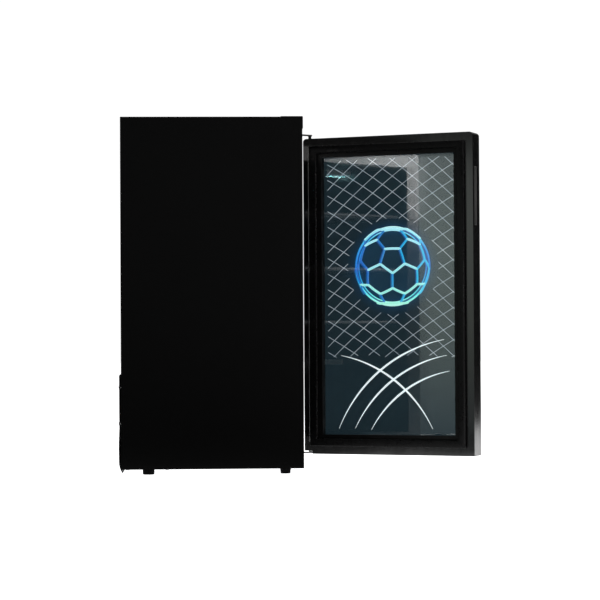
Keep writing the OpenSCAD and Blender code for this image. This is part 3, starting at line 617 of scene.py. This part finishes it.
def ball_edges():
    """Edges on the near side of a ball of twelve five-sided and twenty six-sided patches, radius 1."""
    latitude = math.atan(0.5)
    corners = [Vector((0, 0, 1)), Vector((0, 0, -1))]
    for k in range(5):
        for turn, side in ((math.radians(72 * k - 90), 1), (math.radians(72 * k + 90), -1)):
            flat = math.cos(latitude)
            corners.append(Vector((math.cos(turn) * flat, math.sin(turn) * flat, side * math.sin(latitude))))
    edge = (corners[0] - corners[2]).length
    tilt = Matrix.Rotation(math.radians(-10), 3, "X")
    knots = [tilt @ ((2 * p + q) / 3) for p in corners for q in corners
             if p is not q and (p - q).length < edge * 1.01]
    radius = knots[0].length
    return [(p / radius, q / radius) for k, p in enumerate(knots) for q in knots[k + 1:]
            if (p - q).length < edge / 3 * 1.01 and p.z + q.z > 0.02]


def stroke(start, end, steps=6):
    """An edge of the ball as (x, z) points on the door, bowed a little as it lies on the ball."""
    points = []
    for k in range(steps + 1):
        chord = start.lerp(end, k / steps)
        bowed = chord.lerp(chord.normalized(), 0.75)
        points.append((BALL.x + BALL_R * bowed.x, BALL.z + BALL_R * bowed.y))
    return points


def ring(radius, shift=0.0, count=120):
    return [(BALL.x + shift + radius * c, BALL.z + radius * s) for c, s in circle(count)]


# the ring's two tubes: radius, thickness, lift off the panel, shift to the right
RINGS = ((BALL_R - 0.0018, 0.0025, 0.0026, 0.0), (BALL_R - 0.0098, 0.0013, 0.0020, 0.0010))
STROKE_LIFT = 0.0026
PALE, CYAN, EDGE, RING = range(4)


def strokes():
    """Each stroke of the ball with its thickness and colour: pale where it runs across, else cyan."""
    for start, end in ball_edges():
        points = stroke(start, end)
        width = abs(points[-1][0] - points[0][0])
        height = abs(points[-1][1] - points[0][1])
        across = height < 0.95 * width
        yield points, (0.0031 if across else 0.0026), (PALE if across else CYAN)


def bead(bm, x, y, z, radius, colour):
    """A round end of a tube."""
    made = bmesh.ops.create_icosphere(bm, subdivisions=2, radius=radius,
                                      matrix=Matrix.Translation((x, y, z)))
    for face in {face for vertex in made["verts"] for face in vertex.link_faces}:
        face.material_index = colour


def ball_sign(name, y):
    """Round light tubes with beads at their ends and a deep blue strip beside each, in a double ring."""
    bm = bmesh.new()
    strip = (y + 0.0002, y + 0.0008)
    for points, radius, colour in strokes():
        tube(bm, points, radius, y + STROKE_LIFT, colour=colour)
        for x, z in (points[0], points[-1]):
            bead(bm, x, y + STROKE_LIFT, z, radius * 0.98, colour)
        shift = 0.0020 if colour == PALE else 0.0042
        beside = [(x + shift, z - 0.0010) for x, z in points]
        ribbon(bm, beside, [0.0046] * len(beside), *strip, colour=EDGE)
    for radius, thickness, lift, shift in RINGS:
        tube(bm, ring(radius, shift), thickness, y + lift, closed=True, colour=RING)
    between = ring(BALL_R - 0.005)
    between.append(between[0])
    ribbon(bm, between, [0.0100] * len(between), *strip, colour=EDGE)
    piece(name, bm, [m_pale, m_cyan, m_edge, m_ring], "door", replaces=("neon_ball",),
          smooth=50, place=DOOR)


def ball_print(name, y):
    """The same strokes and rings as flat strips, for the panel's outer face."""
    bm = bmesh.new()
    for points, radius, colour in strokes():
        ribbon(bm, points, [2 * radius] * len(points), y, y - 0.0003, colour=colour)
    for radius, thickness, _, shift in RINGS:
        points = ring(radius, shift)
        points.append(points[0])
        ribbon(bm, points, [2 * thickness] * len(points), y, y - 0.0003, colour=RING)
    piece(name, bm, [m_pale, m_cyan, m_edge, m_ring], "door", smooth=50, place=DOOR)


net("net_lines_inner", PANEL_IN + 0.00003, PANEL_IN + 0.0003)
sweeps("sweep_lines_inner", PANEL_IN + 0.00004, PANEL_IN + 0.0006)
ball_sign("ball_sign", PANEL_IN)
net("net_lines_outer", PANEL_OUT - 0.0003, PANEL_OUT - 0.00003)
sweeps("sweep_lines_outer", PANEL_OUT - 0.0004, PANEL_OUT - 0.00004)
ball_print("ball_print_outer", PANEL_OUT - 0.00005)


# ---------------------------------------------------------------- door: seal and bead
def seal_profile():
    """Outline of the seal as (inset from the door's edge, depth): foot in the groove, folded waist, and
    a crowned tube with two thin lips. The half outline is in millimetres from the middle line."""
    middle_line = 30.0
    half = [(1.4, 23.0), (1.2, 24.6), (1.6, 26.15), (6.6, 26.2), (7.2, 26.8), (6.4, 27.4), (3.4, 27.7),
            (3.0, 28.8), (5.6, 30.0), (6.0, 31.2), (4.6, 32.2), (8.2, 32.8), (9.2, 34.6)]
    crown_x, crown_y, crown_r = 6.8, 37.1, 2.5
    for c, s in circle(16)[:5]:
        half.append((crown_x + crown_r * c, crown_y + crown_r * s))
    outline = [(middle_line + x, y) for x, y in half] + [(middle_line - x, y) for x, y in reversed(half)]
    return [(x / 1000, y / 1000) for x, y in outline]


def door_seal():
    """The seal's outline carried round the door, with mitred corners."""
    bm = bmesh.new()
    rows = []
    for inset, y in seal_profile():
        left, right = DOOR_X0 + inset, DOOR_X1 - inset
        low, high = DOOR_Z0 + inset, DOOR_Z1 - inset
        corners = ((left, low), (right, low), (right, high), (left, high))
        rows.append([bm.verts.new((x, y, z)) for x, z in corners])
    skin(bm, rows, closed=True)
    piece("door_seal", bm, [m_seal], "door", replaces=("door_gasket",), smooth=50,
          place=DOOR)


def stile_painted_highlight_bead():
    """Thin light-grey bead down the hinge side, where the seal's outer fin ends; its pale grey is a painted
    highlight along the seal's lip.
    """
    bm = bmesh.new()
    x, y, radius = -0.0062, 0.0262, 0.0009
    foot, length, steps = 0.056, 0.735, 24
    rows = []
    for k in range(steps + 1):
        z = foot + length * k / steps
        rows.append([bm.verts.new((x + radius * c, y + radius * s, z)) for c, s in circle(12)])
    skin(bm, rows)
    # the bead's light grey is a painted highlight, standing in for the shine on the seal's lip
    piece("stile_painted_highlight_bead", bm, [m_painted_highlight_grey], "door", place=DOOR)


door_seal()


# ---------------------------------------------------------------- cabinet: small pieces
def lamp_lenses():
    """Three rows of five lenses under the lamp's cover, large and small in turn."""
    bm = bmesh.new()
    low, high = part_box("lamp_diffuser")
    for i in range(3):
        for j in range(5):
            x = low.x + (high.x - low.x) * (0.25 + 0.25 * i)
            y = low.y + (high.y - low.y) * (0.14 + 0.18 * j)
            place = Matrix.Translation((x, y, low.z + 0.0003)) @ Matrix.Diagonal((1, 1, 0.9, 1))
            radius = 0.0025 if (i + j) % 2 else 0.0030
            bmesh.ops.create_icosphere(bm, subdivisions=2, radius=radius, matrix=place)
    piece("lamp_lenses", bm, [m_lens], "cabinet")


def step_edge_painted_highlight_strip():
    """Thin angle strip along the front edge of the step, with its upper corner cut off; its white is a
    painted highlight on the step's edge.
    """
    bm = bmesh.new()
    front, top, half = CABINET_Y + 0.2559, 0.2600, 0.1825
    outline = [(-0.0012, -0.012), (-0.0012, 0.0002), (-0.0008, 0.0012), (0.0002, 0.0016),
               (0.016, 0.0016), (0.016, 0.0001), (0.0001, 0.0001), (0.0001, -0.012)]
    rows = [[bm.verts.new((CABINET_X + side * half, front + y, top + z)) for y, z in outline]
            for side in (-1, 1)]
    skin(bm, rows)
    # the white moulding colour here is a painted highlight along the step's front edge
    piece("step_edge_painted_highlight_strip", bm, [m_white], "cabinet")


def hinge_collar():
    """Stepped collar round the upper pin, between the door and the plate."""
    bm = bmesh.new()
    low = DOOR_Z1 + 0.0003
    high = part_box("hinge_plate_upper")[0].z + 0.0002
    bore, rim, neck = 0.0027, 0.0052, 0.0040
    profile = [(bore, low), (rim, low), (rim, low + 0.0018), (neck, low + 0.0026), (neck, high - 0.0026),
               (rim, high - 0.0016), (rim, high), (bore, high)]
    rows = [[bm.verts.new((PIN.x + radius * c, PIN.y + radius * s, z)) for radius, z in profile]
            for c, s in circle(32)]
    skin(bm, rows, closed=True)
    piece("hinge_collar", bm, [m_trim], "cabinet")


def upright_plate(bm, start, end, low, high):
    """A thin upright plate over the line from start to end on the floor."""
    along = (end - start).normalized()
    aside = Vector((-along.y, along.x)) * 0.0009
    outline = (start + aside, end + aside, end - aside, start - aside)
    skin(bm, [[bm.verts.new((p.x, p.y, z)) for p in outline] for z in (low, high)])


def hinge_plate_rim():
    """Folded rim under the upper plate's edge, and the tab that meets the cabinet's front."""
    bm = bmesh.new()
    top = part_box("hinge_plate_upper")[0].z
    tab = Vector((CABINET_X + 0.1525, CABINET_Y - 0.0005))
    fold = Vector((CABINET_X + 0.186, CABINET_Y - 0.0025))
    tip = PIN.xy + Vector((-0.0075, 0.0010))
    upright_plate(bm, fold, tip, top - 0.0018, top + 0.00001)
    upright_plate(bm, tab, Vector((fold.x, tab.y)), top - 0.0105, top + 0.00001)
    piece("hinge_plate_rim", bm, [m_trim], "cabinet")


lamp_lenses()
step_edge_painted_highlight_strip()
hinge_collar()
hinge_plate_rim()
stile_painted_highlight_bead()


# ---------------------------------------------------------------- edges of the carried-over pieces
def soften(width, *names):
    """Rounds the sharp edges of these pieces."""
    for name in names:
        edge = nodes[name].modifiers.new("edge", "BEVEL")
        edge.width = width
        edge.segments = 2
        edge.limit_method = "ANGLE"
        edge.angle_limit = math.radians(38)
        edge.use_clamp_overlap = True


soften(0.0012, "door_top_cap", "door_bottom_cap", "hinge_stile", "handle_stile", "inner_liner")
soften(0.0009, "left_side_panel", "right_side_panel", "top_panel")
soften(0.0006, "inner_frame", "thermostat_knob", "control_box", "drip_tray", "relay_box", "led_driver")


# ---------------------------------------------------------------- stage, light and camera
def area(name, place, target, size, power):
    data = bpy.data.lights.new(name, "AREA")
    data.energy = power
    data.size = size
    o = bpy.data.objects.new(name, data)
    bpy.context.collection.objects.link(o)
    o.location = place
    o.rotation_euler = (Vector(target) - Vector(place)).to_track_quat("-Z", "Y").to_euler()
    o.visible_camera = False
    return data


def lights():
    area("overhead", (-0.3, -0.2, 3.2), (0, 0, 0.3), 2.6, 60)
    key = area("left_key", (-2.10, -1.98, 1.25), (-0.25, 0, 0.8), 0.50, 46)
    key.color = (1.0, 0.985, 0.97)
    key.shape = "RECTANGLE"
    key.size_y = 0.9
    area("right_fill", (3.2, 1.3, 1.7), (0, 0, 0.4), 1.6, 45)
    area("back_fill", (1.2, 3.2, 1.6), (0, 0.3, 0.4), 1.8, 40)


def studio_part(name, corners, material, seen):
    """A flat four-cornered part of the studio."""
    mesh = bpy.data.meshes.new(name)
    mesh.from_pydata(corners, [], [(0, 1, 2, 3)])
    mesh.materials.append(material)
    o = bpy.data.objects.new(name, mesh)
    bpy.context.collection.objects.link(o)
    o.visible_camera = seen


def level(x0, x1, y0, y1, z):
    """Corners of a level rectangle."""
    return [(x0, y0, z), (x1, y0, z), (x1, y1, z), (x0, y1, z)]


def upright(start, end, height):
    """Corners of an upright rectangle over the line from start to end on the floor."""
    return [(*start, 0), (*end, 0), (*end, height), (*start, height)]


def pale_floor():
    material, tree, shader = new_material("pale_floor")
    stops = [(0.3, (0.90, 0.90, 0.90)), (0.7, (0.92, 0.92, 0.92))]
    tree.links.new(ramp(tree, noise(tree, coords(tree), 3, 3), stops), shader.inputs["Base Color"])
    shader.inputs["Roughness"].default_value = 0.9
    shader.inputs["Specular IOR Level"].default_value = 0.1
    shader.inputs["Emission Color"].default_value = (1, 1, 1, 1)
    shader.inputs["Emission Strength"].default_value = 1.03
    return material


def card_face(height):
    """A glow that grows to the middle of the card, holds to six tenths of its height, and is nearly
    black above."""
    material, tree, shader = new_material("studio_card")
    climb = span(tree, axes(tree, coords(tree))[2], 0, 1, 0.0, height)
    stops = [(0, (0.20, 0.24, 0.26)), (0.22, (0.56, 0.62, 0.56)), (0.42, (0.82, 0.92, 0.84)),
             (0.62, (0.80, 0.86, 0.82)), (0.645, (0.05, 0.05, 0.05))]
    shader.inputs["Base Color"].default_value = (0, 0, 0, 1)
    shader.inputs["Specular IOR Level"].default_value = 0
    tree.links.new(ramp(tree, climb, stops), shader.inputs["Emission Color"])
    shader.inputs["Emission Strength"].default_value = 1.0
    return material


def flag_cloth(name):
    material, tree, shader = new_material(name)
    stops = [(0.3, (0.004, 0.004, 0.004)), (0.7, (0.006, 0.006, 0.006))]
    tree.links.new(ramp(tree, noise(tree, coords(tree), 40), stops), shader.inputs["Base Color"])
    shader.inputs["Specular IOR Level"].default_value = 0
    return material


def card():
    """An upright card to the left and behind, hidden from the camera, for the soft light in the door's
    glass."""
    height = 1.5
    centre = Vector((-1.25, 1.02))
    reach = Vector((0.751, 0.662)) * 0.62
    studio_part("studio_card", upright(centre - reach, centre + reach, height), card_face(height), False)


def flags():
    """Two black cloths, hidden from the camera, that keep the pale studio out of the polished faces."""
    right = upright((1.05, -2.85), (2.25, -1.85), 1.7)
    studio_part("studio_flag_right", right, flag_cloth("studio_flag_right"), False)
    low = level(-1.25, -0.30, -0.15, 0.95, 0.002)
    studio_part("studio_flag_low", low, flag_cloth("studio_flag_low"), False)


def world():
    """White to the camera; to everything else a soft light that dims from the horizon upward."""
    surround = bpy.data.worlds.new("studio")
    bpy.context.scene.world = surround
    surround.use_nodes = True
    tree = surround.node_tree
    tree.nodes.clear()
    output = add_node(tree, "ShaderNodeOutputWorld")
    background = add_node(tree, "ShaderNodeBackground")
    background.inputs[0].default_value = (1, 1, 1, 1)
    around = add_node(tree, "ShaderNodeTexCoord").outputs["Generated"]
    strength = add_node(tree, "ShaderNodeMix", data_type="FLOAT")
    rays = add_node(tree, "ShaderNodeLightPath")
    tree.links.new(rays.outputs["Is Camera Ray"], strength.inputs[0])
    tree.links.new(span(tree, axes(tree, around)[2], 0.60, 0.22, 0.0, 0.22), strength.inputs[2])
    strength.inputs[3].default_value = 1.05
    tree.links.new(strength.outputs[0], background.inputs[1])
    tree.links.new(background.outputs[0], output.inputs[0])


# the photograph's viewing angle, fitted to the edges of the cabinet and the door
CAMERA_AT = (-5.276, 0.237, 0.307)  # from the middle of the cabinet's front edge on the floor
CAMERA_YAW, CAMERA_PITCH, CAMERA_ROLL = 2.60, 1.15, -0.32  # degrees; yaw toward the front, pitch up
CAMERA_LENS, CAMERA_SENSOR = 129.15, 36  # millimetres


def camera():
    yaw, pitch, roll = (math.radians(angle) for angle in (CAMERA_YAW, CAMERA_PITCH, CAMERA_ROLL))
    level_way = Vector((math.cos(yaw), -math.sin(yaw), 0))
    ahead = level_way * math.cos(pitch) + Vector((0, 0, math.sin(pitch)))
    right = ahead.cross(Vector((0, 0, 1))).normalized()
    up = right.cross(ahead)
    c, s = math.cos(roll), math.sin(roll)
    turn = Matrix((c * right + s * up, c * up - s * right, -ahead)).transposed().to_4x4()
    turn.translation = Vector(CAMERA_AT) + Vector((CABINET_X, CABINET_Y, 0))
    data = bpy.data.cameras.new("camera")
    data.sensor_width = CAMERA_SENSOR
    data.lens = CAMERA_LENS
    data.clip_start = 0.05
    data.clip_end = 100
    o = bpy.data.objects.new("camera", data)
    bpy.context.collection.objects.link(o)
    o.matrix_world = turn
    bpy.context.scene.camera = o


FLOOR_REACH = 30
floor_corners = level(-FLOOR_REACH, FLOOR_REACH, -FLOOR_REACH, FLOOR_REACH, 0)
studio_part("studio_floor", floor_corners, pale_floor(), True)
world()
lights()
card()
flags()
camera()
bpy.context.scene.view_settings.view_transform = "Standard"
